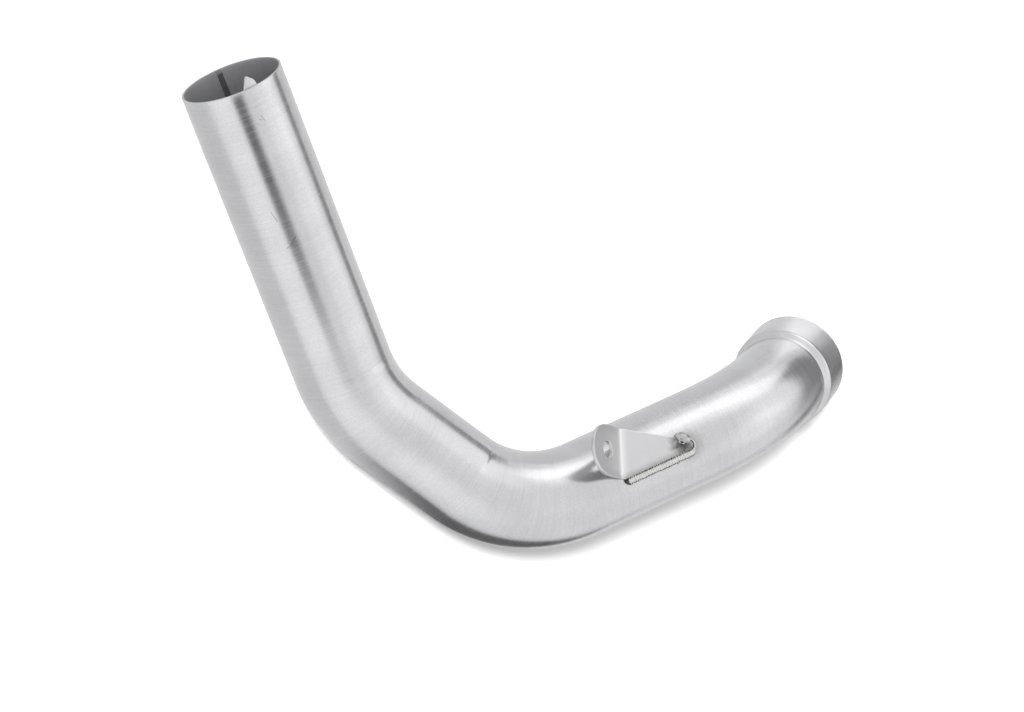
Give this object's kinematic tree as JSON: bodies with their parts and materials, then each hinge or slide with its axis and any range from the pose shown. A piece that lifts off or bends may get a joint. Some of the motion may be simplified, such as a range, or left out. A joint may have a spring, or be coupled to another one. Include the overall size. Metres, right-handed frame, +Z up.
{
  "type": "motorcycle decat pipe",
  "caption": "Bent stainless exhaust link pipe that replaces a motorcycle's catalytic converter: plain inlet with a small locating tab, expanded outlet socket and a welded hanger bracket",
  "frame": {"origin": "on the floor that the pipe rests on, under the middle of its box", "axes": "+X from the inlet towards the outlet socket, +Z up, bracket on top; the inlet points to -X and +Y, the socket to +X, +Y and downwards"},
  "size_m": [0.4306, 0.183, 0.0814],
  "materials": {
    "tube_steel": "stainless tube, brushed round its length",
    "bracket_steel": "satin stainless sheet",
    "weld_metal": "weld bead, brushed clean"
  },
  "bodies": {
    "root": {"pipe": "tube_steel", "hanger_bracket": "bracket_steel", "side_weld": "weld_metal", "tip_weld": "weld_metal", "locating_tab": "bracket_steel", "tab_weld": "weld_metal"}
  },
  "joints": []
}
